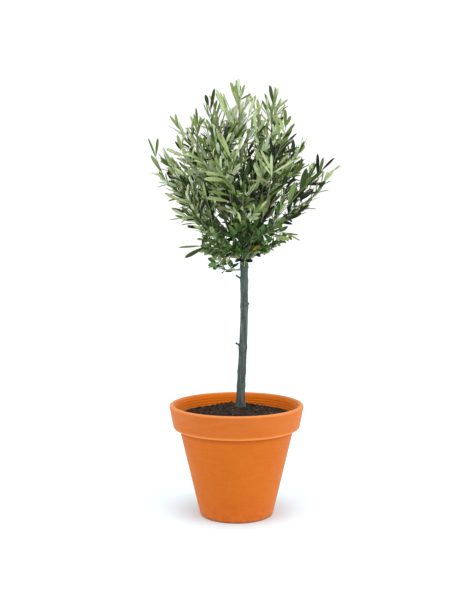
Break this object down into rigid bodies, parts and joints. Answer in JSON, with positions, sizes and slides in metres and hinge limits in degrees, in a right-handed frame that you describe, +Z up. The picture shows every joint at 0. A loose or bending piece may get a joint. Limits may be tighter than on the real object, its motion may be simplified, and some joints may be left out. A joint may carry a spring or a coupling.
{
  "type": "potted olive tree",
  "caption": "Young olive tree grown as a standard, with a slim bare trunk and a round open head of narrow leaves, in a tapered terracotta pot with a deep collar.",
  "frame": {"origin": "centre of the pot's flat underside", "axes": "+Z up along the pot's axis, +X to the right and -Y the front, as the picture shows it"},
  "size_m": [0.4007, 0.3517, 0.9298],
  "materials": {
    "terracotta": "matt fired clay, bright orange with a faint pale bloom",
    "soil": "moist crumbly dark potting soil",
    "bark": "smooth grey-green young bark with knots",
    "lance_leaves": "leathery narrow leaves, grey-green above and silvery below",
    "oval_leaves": "small dark green rounder leaves of the lower shoots"
  },
  "bodies": {
    "root": {"pot": "terracotta", "soil": "soil", "trunk": "bark", "bough_top": "bark", "bough_top_right": "bark", "bough_top_left": "bark", "bough_upper_right": "bark", "bough_upper_back_right": "bark", "bough_upper_back_left": "bark", "bough_upper_left": "bark", "bough_upper_front_left": "bark", "bough_upper_front_right": "bark", "bough_right": "bark", "bough_back_right": "bark", "bough_back": "bark", "bough_back_left": "bark", "bough_left": "bark", "bough_front_left": "bark", "bough_front": "bark", "bough_front_right": "bark", "foliage_top": "lance_leaves", "foliage_top_right": "lance_leaves", "foliage_top_left": "lance_leaves", "foliage_upper_right": "lance_leaves", "foliage_upper_back_right": "lance_leaves", "foliage_upper_back_left": "lance_leaves", "foliage_upper_left": "lance_leaves", "foliage_upper_front_left": "lance_leaves", "foliage_upper_front_right": "lance_leaves", "foliage_right": "lance_leaves", "foliage_back_right": "lance_leaves", "foliage_back": "lance_leaves", "foliage_back_left": "lance_leaves", "foliage_left": "lance_leaves", "foliage_front_left": "lance_leaves", "foliage_front": "lance_leaves", "foliage_front_right": "lance_leaves", "foliage_low_right": "oval_leaves", "foliage_low_back_right": "oval_leaves", "foliage_low_back_left": "oval_leaves", "foliage_low_left": "oval_leaves", "foliage_low_front_left": "oval_leaves", "foliage_low_front_right": "oval_leaves", "foliage_hanging_left": "oval_leaves"}
  },
  "joints": []
}
